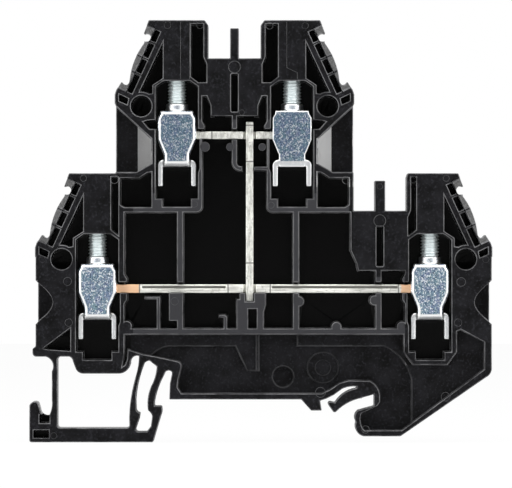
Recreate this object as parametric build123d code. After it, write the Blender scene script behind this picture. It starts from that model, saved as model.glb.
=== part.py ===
from build123d import *
import os
from math import atan2, degrees, hypot

# Double level terminal block for a 35 mm top-hat rail, in millimetres.
# X runs across the rail, Z away from it, and Y along it: the block is one slice of a row of blocks.
# The open side of the housing faces -Y. The flat of the housing that rests on the rail is at Z = 0,
# the middle of the rail at X = 0 and the middle of the block's thickness at Y = 0.

# Housing
block_width = 6.1
back_wall = 0.9
rib = 0.95
chamber_wall = 0.65
rim = 0.95

# Rail and the two ways of holding it
rail_width = 35.0
rail_play = 0.1
rail_sheet = 1.0
rail_sheet_play = 0.05

# Levels and clamps: X of each screw, Z of the top of each bar
upper_bar_top = 42.9
lower_bar_top = 18.4
upper_left_axis = -14.0
upper_right_axis = 4.45
lower_left_axis = -26.75
lower_right_axis = 26.55
side_reach = 9.85

# Clamp chamber, heights measured from the bar's top
chamber_half = 3.4
wall_thinning = 0.25
ceiling_rise = 8.1
ceiling_half = 2.1
ceiling_chamfer = 0.9
shoulder_drop = 10.8
chamber_floor_drop = 12.1
well_half = 2.3

# Screw tower
tower_rise = 17.8
tower_outer_half = 4.5
tower_inner_half = 5.05
column_half = 2.25
seat_thickness = 1.2
lower_tower_half = 3.85
tower_wall = 0.8
tower_wall_low = 0.3
top_rim = 0.6

# Clamping screw, M3 with a slotted cylinder head
thread_radius = 1.5
thread_play = 0.05
head_radius = 1.72
head_height = 2.0
slot_width = 0.6
slot_depth = 0.9
screw_hole_play = 0.08
shaft_play = 0.15
tip_chamfer = 0.35
tip_gap = 0.03

# Clamping yoke, bent from steel strip
strip = 0.85
yoke_side_play = 0.27
yoke_depth_play = 0.15
yoke_top_rise = 3.3
yoke_floor_drop = 4.85
yoke_top_half = 2.7
yoke_neck_half = 2.1
collar_rise = 1.1
collar_radius = 1.8
leg_half = 3.13
saddle_drop = 4.55
leg_drop = 8.8
leg_bend = 0.9
plate_round = 0.38
bottom_bend = 0.7

# Bars and the strap that joins the levels
upper_bar_thickness = 1.2
lower_bar_thickness = 1.36
bar_side_play = 0.15
bar_overhang = 2.6
bar_top_gap = 0.4
link_x = -2.35
link_thickness = 1.2
link_notch_gap = 0.4
link_top_rise = 1.55
link_foot_drop = 2.7
lap = 0.5
groove_height = 0.4
groove_depth = 0.5

# Wire entries
wire_drop = 2.85
wire_radius = 1.6
funnel_radius = 4.25
funnel_depth = 4.3
funnel_step = 0.2
ramp_rise = 1.1
ramp_length = 2.3

# Round sockets and the pegs that plug into the next block's sockets
socket_radius = 1.68
socket_wall = 0.62
socket_reach = 5.7
socket_rise = 4.05
peg_play = 0.12
peg_length = 1.0

# Centre block and right shoulder, with their bridge shafts
centre_top = 54.6
centre_bottom = 45.35
shoulder_top = 30.2
shoulder_bottom = 20.6
fin_width = 1.4
shoulder_fin_width = 1.7
centre_fin_top = 59.4
shoulder_fin_top = 35.0
front_plate = 1.0
bridge_width = 2.0
key_slot_width = 1.12

# Lower body
body_left_floor = 6.85
web_depth = 1.5
deep_web_depth = 2.3
web_rib_depth = 0.9
web_recess_depth = 3.3
web_recess_radius = 1.7
boss_radius = 0.8

# Foot
foot_bottom = -6.85
foot_window_floor = -4.56
foot_left = -37.6

front = -block_width / 2
back = block_width / 2
floor_y = back - back_wall
clamp_y = (front + floor_y) / 2
yoke_front = front + yoke_depth_play
yoke_back = floor_y - yoke_depth_play
bar_front = yoke_front + strip + bar_side_play
bar_back = yoke_back - strip - bar_side_play
yoke_half = chamber_half - yoke_side_play
rail_edge = (rail_width + rail_play) / 2
flange_gap = rail_sheet + rail_sheet_play
head_seat = ceiling_rise + seat_thickness
shaft_radius = head_radius + shaft_play
screw_hole = thread_radius + screw_hole_play
web_rib_left = -1.27
web_rib_right = -0.85
body_left = lower_left_axis - side_reach
body_right = lower_right_axis + side_reach
column_left = upper_left_axis - side_reach
column_right = upper_right_axis + side_reach

# Each clamp: name, screw axis, bar top, and which way its wire comes in (-1 from the left, 1 from the right)
clamps = [
    ("upper_left", upper_left_axis, upper_bar_top, -1),
    ("upper_right", upper_right_axis, upper_bar_top, 1),
    ("lower_left", lower_left_axis, lower_bar_top, -1),
    ("lower_right", lower_right_axis, lower_bar_top, 1),
]


def outline(*steps):
    """A flat shape from points. A step of two points is an arc through the first to the second."""
    edges = []
    here = steps[0]
    for step in steps[1:]:
        if isinstance(step[0], tuple):
            edges.append(ThreePointArc(here, step[0], step[1]))
            here = step[1]
        else:
            edges.append(Line(here, step))
            here = step
    if here != steps[0]:
        edges.append(Line(here, steps[0]))
    return make_face(edges)


def box_shape(left, right, low, high):
    return outline((left, low), (right, low), (right, high), (left, high))


def disc(x, z, radius):
    return Pos(x, z) * Circle(radius)


def slab(shape, y_from, y_to):
    """Gives a flat shape in X and Z its thickness, from one Y to a larger one."""
    return extrude(Plane.XZ.offset(-y_to) * shape, y_to - y_from)


def sided(axis, base, side, points):
    """Places points that are given outwards from a screw axis and upwards from a base height."""
    placed = []
    for point in points:
        if isinstance(point[0], tuple):
            placed.append(tuple((axis + side * x, base + z) for x, z in point))
        else:
            placed.append((axis + side * point[0], base + point[1]))
    return placed


def cylinder_along_x(x_from, x_to, y, z, radius):
    low = min(x_from, x_to)
    return extrude(Plane.YZ.offset(low) * Pos(y, z) * Circle(radius), abs(x_to - x_from))


def cylinder_along_z(x, y, z_from, z_to, radius):
    return extrude(Plane.XY.offset(z_from) * Pos(x, y) * Circle(radius), z_to - z_from)


# Marker flank, the outer side of each tower: a hook above, a bulging skin with cells and a hook below.
# Points go outwards from the screw axis and down from the tower's top.
flank_height = 13.35
notch_radius = 0.68
notch_out = 4.85
notch_down = 2.75
wall_top = (2.38, -1.63)
wall_foot = (7.28, -12.35)
marker_wall = 0.83
cell_ends = ((0.35, 2.2), (2.65, 5.0), (5.45, 7.7), (8.15, 11.2))
skin_bevel_run = 1.6
skin_bevel_fall = 1.1
wall_run = hypot(wall_foot[0] - wall_top[0], wall_foot[1] - wall_top[1])
along_x = (wall_foot[0] - wall_top[0]) / wall_run
along_z = (wall_foot[1] - wall_top[1]) / wall_run


def beside_wall(distance, offset):
    """A point at a distance down the marker wall, and an offset outwards from its outer face."""
    return (
        wall_top[0] + along_x * distance - along_z * offset,
        wall_top[1] + along_z * distance + along_x * offset,
    )


def flank_shape(axis, bar_top, side):
    points = [
        (0, 0),
        (tower_outer_half, 0),
        (5.28, -2.05),
        (5.2, -3.62),
        ((6.75, -6.3), (7.5, -9.1)),
        (7.62, -10.0),
        (7.95, -10.35),
        (8.4, -10.3),
        (8.85, -9.82),
        (9.7, -11.15),
        (side_reach + 0.1, -11.9),
        (side_reach + 0.1, -flank_height),
        (0, -flank_height),
    ]
    shape = outline(*sided(axis, bar_top + tower_rise, side, points))
    notch = disc(axis + side * notch_out, bar_top + tower_rise - notch_down, notch_radius)
    return shape - notch


def chamber_shape(axis, bar_top, side):
    """The room of a clamp. Its inner wall is thinner under the bar, and a well takes the yoke's legs."""
    half = chamber_half
    thin = chamber_half + wall_thinning
    return outline(*sided(axis, bar_top, side, [
        (half, -shoulder_drop),
        (half, ceiling_rise - ceiling_chamfer),
        (ceiling_half, ceiling_rise),
        (-ceiling_half, ceiling_rise),
        (-half, ceiling_rise - ceiling_chamfer),
        (-half, -1.0),
        (-thin, -1.0),
        (-thin, -6.0),
        (-half, -6.6),
        (-half, -shoulder_drop),
        (-well_half, -shoulder_drop),
        (-well_half, -chamber_floor_drop),
        (well_half, -chamber_floor_drop),
        (well_half, -shoulder_drop),
    ]))


# Outer shape of the housing


def upper_body_shape():
    centre_left = upper_left_axis + tower_inner_half
    centre_right = upper_right_axis - tower_inner_half
    top = upper_bar_top + tower_rise
    middle = (centre_left + centre_right) / 2
    shape = box_shape(column_left, column_right, shoulder_bottom, top - flank_height)
    shape += box_shape(centre_left - 1, centre_right + 1, centre_bottom, centre_top)
    shape += box_shape(middle - fin_width / 2, middle + fin_width / 2, centre_top - 1, centre_fin_top)
    for axis, side in ((upper_left_axis, 1), (upper_right_axis, -1)):
        tower = [
            (0, 0),
            (tower_inner_half - 0.6, 0),
            (tower_inner_half, -0.85),
            (tower_inner_half, -flank_height - 1),
            (0, -flank_height - 1),
        ]
        shape += outline(*sided(axis, top, side, tower))
    return shape


def lower_body_shape():
    top = lower_bar_top + tower_rise
    shoulder_left = column_right
    tower_left = lower_right_axis - lower_tower_half
    middle = (shoulder_left + tower_left) / 2
    shape = box_shape(lower_left_axis, column_left + 1, shoulder_bottom, top)
    shape += box_shape(column_right - 1, tower_left + 1, shoulder_bottom, shoulder_top)
    fin_half = shoulder_fin_width / 2
    shape += box_shape(middle - fin_half, middle + fin_half, shoulder_top - 1, shoulder_fin_top)
    half = lower_tower_half
    tower = [(0, 0), (half - 0.25, 0), (half, -0.7), (half, -flank_height), (0, -flank_height)]
    shape += outline(*sided(lower_right_axis, top, -1, tower))
    low = top - flank_height
    belly_left = lower_left_axis - chamber_half - 1.05
    shape += outline(
        (body_left, low + 1),
        (body_left, 8.5),
        (body_left - 0.5, 8.1),
        (body_left - 0.5, 7.5),
        ((body_left - 0.35, 7.05), (body_left + 0.2, body_left_floor)),
        (belly_left, body_left_floor),
        ((belly_left + 0.35, 6.6), (belly_left + 0.55, 6.15)),
        (belly_left + 0.95, 5.1),
        ((belly_left + 1.5, 4.35), (belly_left + 2.3, 4.13)),
        (-23.4, 4.13),
        ((-22.1, 4.55), (-21.4, 5.8)),
        ((-21.0, 6.75), (-20.3, 7.0)),
        (-19.2, 6.9),
        (-15.9, 4.2),
        ((-15.45, 4.6), (-14.75, 4.3)),
        (-15.1, 2.6),
        (-15.2, 0),
        (5.9, 0),
        (7.5, -1.78),
        (9.2, -1.78),
        (8.95, -0.2),
        (9.95, 0.13),
        (11.1, 0.7),
        (12.4, 1.65),
        ((13.4, 2.0), (14.75, 2.05)),
        (14.75, 1.8),
        (15.0, 0.1),
        (rail_edge, 0.82),
        (rail_edge, -flange_gap),
        (15.0, -1.75),
        ((14.6, -2.2), (14.65, -3.6)),
        ((14.9, -5.3), (15.9, foot_bottom + rim)),
        (21.8, foot_bottom + rim),
        (35.5, 3.55),
        ((36.2, 4.2), (body_right, 5.2)),
        (body_right, low + 1),
    )
    return shape


def tongue_shape():
    """The spring tongue that presses on the rail's edge."""
    return outline(
        (15.0, 0.1),
        ((13.2, -0.65), (11.5, -1.95)),
        ((11.25, -2.05), (11.0, -1.95)),
        (10.25, -0.9),
        ((10.3, -0.45), (10.65, -0.35)),
        (11.3, -0.5),
        ((12.8, 1.05), (14.75, 1.8)),
        (15.5, 1.8),
        (15.5, 0.2),
    )


def foot_shape():
    """The sprung foot: a frame hung on two arms, a catch for the rail and a release lever."""
    left = foot_left
    shape = outline(
        (left, -1.0),
        ((left + 0.35, -0.5), (left + 1.4, -0.55)),
        (left + 1.7, -1.6),
        ((left + 2.2, -2.45), (left + 3.2, -2.55)),
        ((left + 3.55, -1.5), (left + 3.6, 0)),
        (left + 3.6, 4.5),
        ((left + 3.45, 6.3), (left + 2.6, body_left_floor)),
        (left + 2.6, body_left_floor + 0.5),
        (-20.3, 7.5),
        (-18.3, 7.2),
        (-15.9, 6.2),
        (-15.9, 4.2),
        (-16.6, 2.75),
        ((-17.15, 1.3), (-rail_edge, -0.4)),
        (-rail_edge, -flange_gap),
        (-rail_edge + 1.1, -flange_gap),
        ((-16.35, -2.0), (-16.5, -2.55)),
        (-17.65, -6.4),
        ((-17.8, -6.75), (-18.2, foot_bottom)),
        (left + 0.4, foot_bottom),
        ((left + 0.1, foot_bottom + 0.1), (left, foot_bottom + 0.4)),
    )
    window = outline(
        (left + 4.5, foot_window_floor + 0.4),
        ((left + 4.62, foot_window_floor + 0.12), (left + 4.9, foot_window_floor)),
        (-22.1, foot_window_floor),
        ((-21.75, foot_window_floor + 0.12), (-21.6, foot_window_floor + 0.45)),
        ((-21.25, 0.9), (-20.55, 3.8)),
        ((-20.15, 5.6), (-20.05, 7.0)),
        (left + 5.0, body_left_floor),
        ((left + 4.6, 6.6), (left + 4.5, 6.1)),
    )
    slot = outline(
        (-19.2, 5.75),
        ((-20.2, 2.5), (-20.55, -0.1)),
        (-20.5, -1.5),
        ((-20.3, -1.95), (-19.85, -2.15)),
        (-20.0, -3.1),
        (-20.6, -4.9),
        (-20.3, -5.17),
        (-18.8, -5.17),
        (-18.15, -4.3),
        (-17.95, -2.7),
        ((-18.15, -2.2), (-18.6, -1.76)),
        ((-18.65, 0.2), (-17.8, 2.75)),
        ((-17.4, 4.0), (-17.2, 5.4)),
        ((-18.2, 6.2), (-19.2, 5.75)),
    )
    return shape - window - slot


def housing_outline():
    shape = upper_body_shape() + lower_body_shape() + tongue_shape() + foot_shape()
    for name, axis, bar_top, side in clamps:
        shape += flank_shape(axis, bar_top, side)
    return shape


# What is cut into the open side


def socket_place(axis, bar_top, side):
    return axis + side * socket_reach, bar_top + socket_rise


def flank_pockets(axis, bar_top, side):
    """The row of dark cells behind the marker skin, and the triangle between marker wall and shaft."""
    base = bar_top + tower_rise
    cell_width = 1.0
    shapes = []
    for start, end in cell_ends:
        corners = [
            beside_wall(start, 0.12),
            beside_wall(end, 0.12),
            beside_wall(end, cell_width),
            beside_wall(start, cell_width),
        ]
        shapes.append(outline(*sided(axis, base, side, corners)))
    low = beside_wall(10.8, -marker_wall)
    triangle = [
        (column_half, -3.6),
        low,
        (low[0] - 0.9, low[1] - 0.1),
        (chamber_half + 0.5, -11.7),
        (chamber_half + 0.5, -10.35),
        (column_half, -9.3),
    ]
    x, z = socket_place(axis, bar_top, side)
    shapes.append(outline(*sided(axis, base, side, triangle)) - disc(x, z, socket_radius + socket_wall))
    hook_cell = [(9.25, -11.85), (7.75, -12.55), (7.95, -13.5), (9.25, -12.95)]
    shapes.append(outline(*sided(axis, base, side, hook_cell)))
    return shapes


def skin_bevel(axis, bar_top, side):
    """The slanting outer faces of the marker skin, one beside each cell, with ribs left between them."""
    base = bar_top + tower_rise
    near = beside_wall(0, 1.15)
    angle = degrees(atan2(-along_z, along_x))
    low_edge = front + skin_bevel_fall
    wedge = outline(
        (0, front),
        (skin_bevel_run, low_edge),
        (3 * skin_bevel_run, low_edge),
        (3 * skin_bevel_run, front - 1),
        (0, front - 1),
    )
    prism = extrude(Plane.XY * wedge, amount=wall_run + 2, both=True)
    turned = Pos(axis + side * near[0], 0, base + near[1]) * Rot(0, -side * (90 - angle), 0)
    if side < 0:
        prism = mirror(prism, Plane.YZ)
    cutters = []
    for start, end in cell_ends:
        band = outline(*sided(axis, base, side, [
            beside_wall(start, 1.15),
            beside_wall(end, 1.15),
            beside_wall(end, 3.2),
            beside_wall(start, 3.2),
        ]))
        cutters.append(slab(band, front - 1, floor_y) & (turned * prism))
    return cutters


def deep_pockets():
    """Rooms that go right down to the back wall."""
    shapes = []
    for name, axis, bar_top, side in clamps:
        shapes.append(chamber_shape(axis, bar_top, side))
        shapes += flank_pockets(axis, bar_top, side)
        x, z = socket_place(axis, bar_top, side)
        shapes.append(disc(x, z, socket_radius))
        shapes.append(inner_pocket(axis, bar_top, side))
    for axis, side in ((upper_left_axis, -1), (upper_right_axis, 1)):
        shapes.append(upper_funnel_room(axis, side))
        shapes.append(side_room(axis, side))
        shapes.append(socket_pocket(axis, side))
    return shapes


def inner_pocket(axis, bar_top, side):
    """The narrow dark room beside the screw shaft, on the side away from the wire."""
    tower_half = tower_inner_half if bar_top == upper_bar_top else lower_tower_half
    reach = tower_half - tower_wall
    wide = tower_half - tower_wall_low
    top = tower_rise - top_rim
    above = ceiling_rise + chamber_wall
    low = above - ceiling_chamfer
    points = [(column_half, above), (chamber_half, low)]
    if axis == lower_left_axis:
        points += [(chamber_half, top)]
    else:
        points += [(wide, low), (wide, above + 2.0), (reach, above + 3.2), (reach, top)]
    points += [(column_half, top)]
    return outline(*sided(axis, bar_top, -side, points))


def socket_pocket(axis, side):
    """The small pocket between a socket and the slanting rib, open to the chamber."""
    inner = chamber_half - 0.1
    return outline(*sided(axis, upper_bar_top, side, [
        (inner, 0.38),
        (4.4, 0.38),
        (5.4, 1.55),
        (4.7, 1.74),
        (inner, 1.85),
    ]))


def upper_funnel_room(axis, side):
    """The open wire way of the upper level, under the slanting rib."""
    inner = chamber_half + chamber_wall
    return outline(*sided(axis, upper_bar_top, side, [
        (side_reach + 1, 5.1),
        (side_reach, 4.15),
        (inner, -1.15),
        (inner, -5.15),
        (6.5, -6.55),
        (side_reach + 1, -6.55),
    ]))


def side_room(axis, side):
    inner = chamber_half + chamber_wall
    return outline(*sided(axis, upper_bar_top, side, [
        (inner, -6.5),
        (4.7, -6.6),
        (6.05, -7.45),
        (side_reach - 0.75, -7.45),
        (side_reach - 0.75, -chamber_floor_drop + 0.35),
        (side_reach - 1.45, -chamber_floor_drop - 0.05),
        (inner, -chamber_floor_drop - 0.05),
    ]))


def core_room():
    """The wide room between the chambers, less the ribs that stand in it."""
    left = upper_left_axis + chamber_half + chamber_wall
    right = upper_right_axis - chamber_half - chamber_wall
    low_left = lower_left_axis + chamber_half + rib
    low_right = lower_right_axis - chamber_half - chamber_wall
    mid = upper_bar_top - chamber_floor_drop - 0.85
    shoulder_left = column_right - 0.5
    floor = lower_bar_top - 7.05
    wedge_top = centre_bottom + 3.2
    room = outline(
        (left, wedge_top),
        (left + 0.75, wedge_top),
        (left + 1.35, centre_bottom + 1.7),
        (left + 1.4, centre_bottom),
        (right - 1.4, centre_bottom),
        (right - 1.35, centre_bottom + 1.7),
        (right - 0.75, wedge_top),
        (right, wedge_top),
        (right, mid + 0.95),
        ((right + 0.28, mid + 0.28), (right + 0.95, mid)),
        (shoulder_left, mid),
        (shoulder_left, 23.9),
        (shoulder_left + 1.0, 21.7),
        (shoulder_left + 1.2, shoulder_bottom),
        (low_right, shoulder_bottom),
        (low_right, floor),
        (low_left, floor),
        (low_left, mid),
        (left - 0.95, mid),
        ((left - 0.28, mid + 0.28), (left, mid + 0.95)),
    )
    for piece in core_ribs(floor, mid):
        room -= piece
    return room


def wall_swelling(x, bar_top, side):
    """A chamber wall is a little thicker just above its bar."""
    return outline(
        (x - side * 0.1, bar_top + bar_top_gap),
        (x + side * 0.35, bar_top + bar_top_gap),
        (x + side * 0.43, bar_top + 0.9),
        (x, bar_top + 1.6),
        (x - side * 0.1, bar_top + 1.6),
    )


def wall_stop(x, bar_under, side):
    """A short stop under the lower bar, on the chamber's wall."""
    return outline(
        (x - side * 0.1, bar_under),
        (x + side * 0.42, bar_under),
        (x + side * 0.42, bar_under - 1.1),
        (x, bar_under - 1.7),
        (x - side * 0.1, bar_under - 1.7),
    )


def core_ribs(floor, mid):
    left = upper_left_axis + chamber_half + chamber_wall
    right = upper_right_axis - chamber_half - chamber_wall
    low_left = lower_left_axis + chamber_half + rib
    low_right = lower_right_axis - chamber_half - chamber_wall
    lower_bar_under = lower_bar_top - lower_bar_thickness
    upper_bar_under = upper_bar_top - upper_bar_thickness
    link_left = link_x - link_thickness / 2
    link_right = link_x + link_thickness / 2
    centre_x = (left + right) / 2
    ribs = [
        box_shape(-13.95, -13.0, floor, mid),
        box_shape(4.6, 5.55, floor, mid),
        box_shape(17.8, 18.75, floor, shoulder_bottom),
        box_shape(-17.2, -16.65, floor, lower_bar_under - 0.6),
        box_shape(-19.2, -17.0, lower_bar_under - 1.0, lower_bar_under - 0.6),
        box_shape(-15.25, -13.5, lower_bar_under - 4.45, lower_bar_under),
        box_shape(-6.5, -5.95, floor, floor + 2.0),
        box_shape(-7.25, -6.2, floor + 1.75, floor + 2.2),
        box_shape(centre_x - 0.4, centre_x + 0.4, upper_bar_top, centre_bottom),
        wall_swelling(left, upper_bar_top, 1),
        wall_swelling(right, upper_bar_top, -1),
        wall_swelling(low_left, lower_bar_top, 1),
        wall_swelling(low_right, lower_bar_top, -1),
        wall_stop(low_left, lower_bar_under, 1),
        wall_stop(low_right, lower_bar_under, -1),
        disc(low_left + 0.4, floor + 0.4, boss_radius),
        disc(11.55, floor + 0.25, boss_radius),
        disc(low_right - 0.5, floor + 0.3, boss_radius),
        disc(5.55, 15.7, boss_radius),
        disc(17.65, 15.85, boss_radius),
    ]
    link_foot = lower_bar_top - link_foot_drop
    link_box = outline(
        (link_left - 1.5, floor),
        (link_left - 1.5, lower_bar_under - 1.0),
        (link_left - 1.0, lower_bar_under - 1.0),
        (link_left - 1.0, lower_bar_under),
        (link_right + 1.97, lower_bar_under),
        (link_right + 1.97, lower_bar_under - 1.95),
        (link_right + 1.65, lower_bar_under - 3.1),
        (link_right + 1.65, floor),
    )
    link_box -= box_shape(link_left - 0.1, link_right + 0.1, link_foot - 0.05, lower_bar_top)
    link_box -= box_shape(link_left + 0.35, link_left + 1.75, floor, lower_bar_under - 2.55)
    ribs.append(link_box)
    hook = outline(
        (centre_x - 0.4, upper_bar_under - 0.1),
        (centre_x + 0.4, upper_bar_under - 0.1),
        (centre_x + 0.4, upper_bar_under - 3.6),
        ((centre_x + 0.55, upper_bar_under - 4.2), (centre_x + 1.2, upper_bar_under - 4.35)),
        (centre_x + 1.2, upper_bar_under - 5.1),
        ((centre_x + 0.1, upper_bar_under - 4.75), (centre_x - 0.4, upper_bar_under - 3.6)),
    )
    ribs.append(hook)
    ribs.append(box_shape(link_right + 0.1, right + 1, upper_bar_under - 5.0, upper_bar_under - 4.45))
    return ribs


def web_room():
    """The large shallow room of the lower body, inside its rim."""
    floor = lower_bar_top - 7.05 - rib
    left = lower_left_axis + chamber_half + rib
    right_in = lower_right_axis - chamber_half - 0.85
    right_out = lower_right_axis + chamber_half + 0.85
    under = lower_bar_top - chamber_floor_drop - 0.75
    body = outline(
        (left, floor),
        (right_in, floor),
        (right_in, under + 2.0),
        (lower_right_axis - 2.7, under),
        (lower_right_axis + 2.7, under),
        (right_out, under + 2.0),
        (right_out, 10.9),
        (31.45, 11.2),
        (body_right - 1.2, 9.2),
        (body_right - 1.2, 4.8),
        (22.0, -4.95),
        (16.0, -4.95),
        ((15.6, -4.3), (15.55, -2.2)),
        (18.1, -1.0),
        (18.5, -0.4),
        (18.5, 0.6),
        ((18.0, 2.0), (16.9, 2.95)),
        (13.5, 3.05),
        (12.0, 2.6),
        (10.7, 1.7),
        (9.2, rim),
        (-13.3, rim),
        (-13.9, 1.9),
        (-13.8, 3.1),
        (-13.3, 5.1),
        ((-13.4, 5.75), (-13.9, 6.1)),
        (-17.3, 6.85),
        (-19.4, 7.2),
        (-21.85, 8.0),
        (-21.95, 6.4),
        (-22.3, 5.5),
        (left - 0.35, 5.2),
        (left, 7.2),
    )
    return body


def deep_web_room():
    """The second step of the web, with a softly curved upper edge."""
    top = lower_bar_top - 7.05 - rib
    step = top - 1.85
    arch = outline(
        (-18.2, -7),
        (-18.2, 7.0),
        ((-16.7, step - 0.45), (-15.0, step)),
        (-4.6, step),
        (-2.75, 4.6),
        (web_rib_right, 4.6),
        (web_rib_right, top + 1),
        (5.3, top + 1),
        (5.3, step),
        (19.1, step),
        ((21.9, 6.6), (23.6, 3.2)),
        (23.6, -7),
    )
    return web_room() & arch


def bridge_shafts():
    """The four openings for plug-in bridges: straight down behind the front plates to the bars."""
    cutters = []
    centre_left = upper_left_axis + tower_inner_half
    centre_right = upper_right_axis - tower_inner_half
    tower_left = lower_right_axis - lower_tower_half
    places = (
        ((centre_left + centre_right) / 2, centre_top, centre_bottom),
        ((column_right + tower_left) / 2, shoulder_top, shoulder_bottom),
    )
    for middle, top, bottom in places:
        for side in (-1, 1):
            near = middle + side * (key_slot_width / 2 + 0.75)
            far = near + side * bridge_width
            shaft = box_shape(min(near, far), max(near, far), bottom - 0.1, top + 1)
            cutters.append(slab(shaft, front + front_plate, floor_y))
        slot = box_shape(middle - key_slot_width / 2, middle + key_slot_width / 2, bottom + 0.7, top - 2.5)
        cutters.append(slab(fillet(slot.vertices(), 0.2), front - 1, floor_y))
    return cutters


def wire_cutters():
    """Funnels and wire ways into each chamber."""
    cutters = []
    for name, axis, bar_top, side in clamps:
        z = bar_top - wire_drop
        outside = axis + side * (side_reach + 0.5)
        room = axis + side * (chamber_half - 0.1)
        cutters.append(cylinder_along_x(outside, room, clamp_y, z, wire_radius))
        if bar_top == lower_bar_top:
            mouth = axis + side * side_reach
            throat = mouth - side * funnel_depth
            plane = Plane((mouth, clamp_y, z), x_dir=(0, 1, 0), z_dir=(-side, 0, 0))
            cone = plane * Pos(0, 0, funnel_depth / 2) * Cone(funnel_radius, wire_radius, funnel_depth)
            keep = Pos(mouth, (front - 2 + floor_y) / 2, z) * Box(
                2 * funnel_depth + 2, floor_y - front + 2, 2 * funnel_radius + 1
            )
            cutters.append(cone & keep)
            step = Pos(mouth, 0, z) * Box(2 * funnel_step, block_width + 2, 2 * funnel_radius - 1.6)
            cutters.append(step)
    return cutters


def bar_slots():
    """Slots in the ribs and chamber walls that the bars and the strap are laid into."""
    cutters = []
    for bar_top, thickness, left_axis, right_axis in (
        (upper_bar_top, upper_bar_thickness, upper_left_axis, upper_right_axis),
        (lower_bar_top, lower_bar_thickness, lower_left_axis, lower_right_axis),
    ):
        slot = box_shape(left_axis, right_axis, bar_top - thickness, bar_top + bar_top_gap)
        cutters.append(slab(slot, front - 1, bar_back))
    return cutters


def foot_pockets():
    left = foot_left
    upper = box_shape(left + 1.6, left + 3.25, -3.8, -2.4)
    lower = box_shape(left + 0.65, left + 3.15, -6.15, -4.9)
    return [slab(upper, front - 1, floor_y), slab(lower, front - 1, floor_y)]


def corner_pockets():
    """The triangular room at the lower left."""
    inner = lower_left_axis - chamber_half - 0.9
    triangle = outline((-35.4, 8.15), (inner, 11.4), (inner, 7.75), (-34.6, 8.0))
    return [slab(triangle, front - 1, floor_y)]


def housing():
    shell = housing_outline()
    body = slab(shell, front, back)
    for shape in deep_pockets():
        body -= slab(shape, front - 1, floor_y)
    body -= slab(core_room(), front - 1, floor_y)
    body -= slab(web_room(), front - 1, front + web_depth)
    body -= slab(deep_web_room(), front - 1, front + deep_web_depth)
    body -= slab(disc(3.0, 3.6, web_recess_radius), front, front + web_recess_depth)
    web_rib = box_shape(web_rib_left, web_rib_right, 4.6, lower_bar_top - 7.55)
    body += slab(web_rib, front + web_rib_depth, front + deep_web_depth + 0.1)
    cutters = bridge_shafts() + bar_slots() + foot_pockets() + corner_pockets()
    for name, axis, bar_top, side in clamps:
        seat = bar_top + head_seat
        top = bar_top + tower_rise
        cutters.append(cylinder_along_z(axis, clamp_y, bar_top + ceiling_rise - 1, top, screw_hole))
        cutters.append(cylinder_along_z(axis, clamp_y, seat, top + 1, shaft_radius))
        cutters += skin_bevel(axis, bar_top, side)
    for cutter in cutters:
        body -= cutter
    body += funnel_ramps()
    for cutter in wire_cutters():
        body -= cutter
    for name, axis, bar_top, side in clamps:
        x, z = socket_place(axis, bar_top, side)
        body += slab(disc(x, z, socket_radius - peg_play), back - 0.2, back + peg_length)
    return body


def funnel_ramps():
    """The slanting lead-in on the back wall of each upper wire way."""
    ramps = []
    for axis, side in ((upper_left_axis, -1), (upper_right_axis, 1)):
        near = axis + side * (chamber_half + chamber_wall - 0.1)
        far = near + side * (ramp_length + 0.1)
        wedge = outline(
            (near, floor_y + 0.1),
            (far, floor_y + 0.1),
            (far, floor_y),
            (near, floor_y - ramp_rise),
        )
        prism = extrude(Plane.XY.offset(upper_bar_top - 6.6) * wedge, 7.6)
        room = slab(upper_funnel_room(axis, side), front, floor_y + 0.1)
        ramps.append(prism & room)
    return ramps[0] + ramps[1]


def screw(axis, bar_top):
    """A clamping screw: slotted head, shank and a chamfered tip that bears on the bar."""
    tip = bar_top + tip_gap
    seat = bar_top + head_seat
    profile = make_face(
        Polyline(
            (0, tip),
            (thread_radius - tip_chamfer, tip),
            (thread_radius, tip + tip_chamfer),
            (thread_radius, seat),
            (head_radius, seat),
            (head_radius, seat + head_height),
            (0, seat + head_height),
            close=True,
        )
    )
    turned = revolve(Plane.XZ * profile, Axis.Z)
    slot = Pos(0, 0, seat + head_height) * Box(2 * head_radius + 1, slot_width, 2 * slot_depth)
    return Pos(axis, clamp_y, 0) * (turned - slot)


def yoke_plate_shape(rounded):
    """Plate of a yoke, from its straight top down through its shoulders to the neck."""
    top = yoke_top_rise
    under = -yoke_floor_drop - strip
    half_plate = [
        (yoke_neck_half, under),
        (yoke_neck_half, -3.75),
        (yoke_half, -1.35),
        (yoke_half, top - 1.1),
        (yoke_top_half, top - 0.45),
        (yoke_top_half, top),
    ]
    points = half_plate + [(-x, z) for x, z in reversed(half_plate)]
    shape = outline(*points)
    if not rounded:
        return shape
    for radius, height in ((1.3, -3.75), (1.3, -1.35), (0.6, top - 1.1)):
        corners = [v for v in shape.vertices() if abs(v.Y - height) < 0.01]
        shape = fillet(corners, radius)
    return shape


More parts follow.
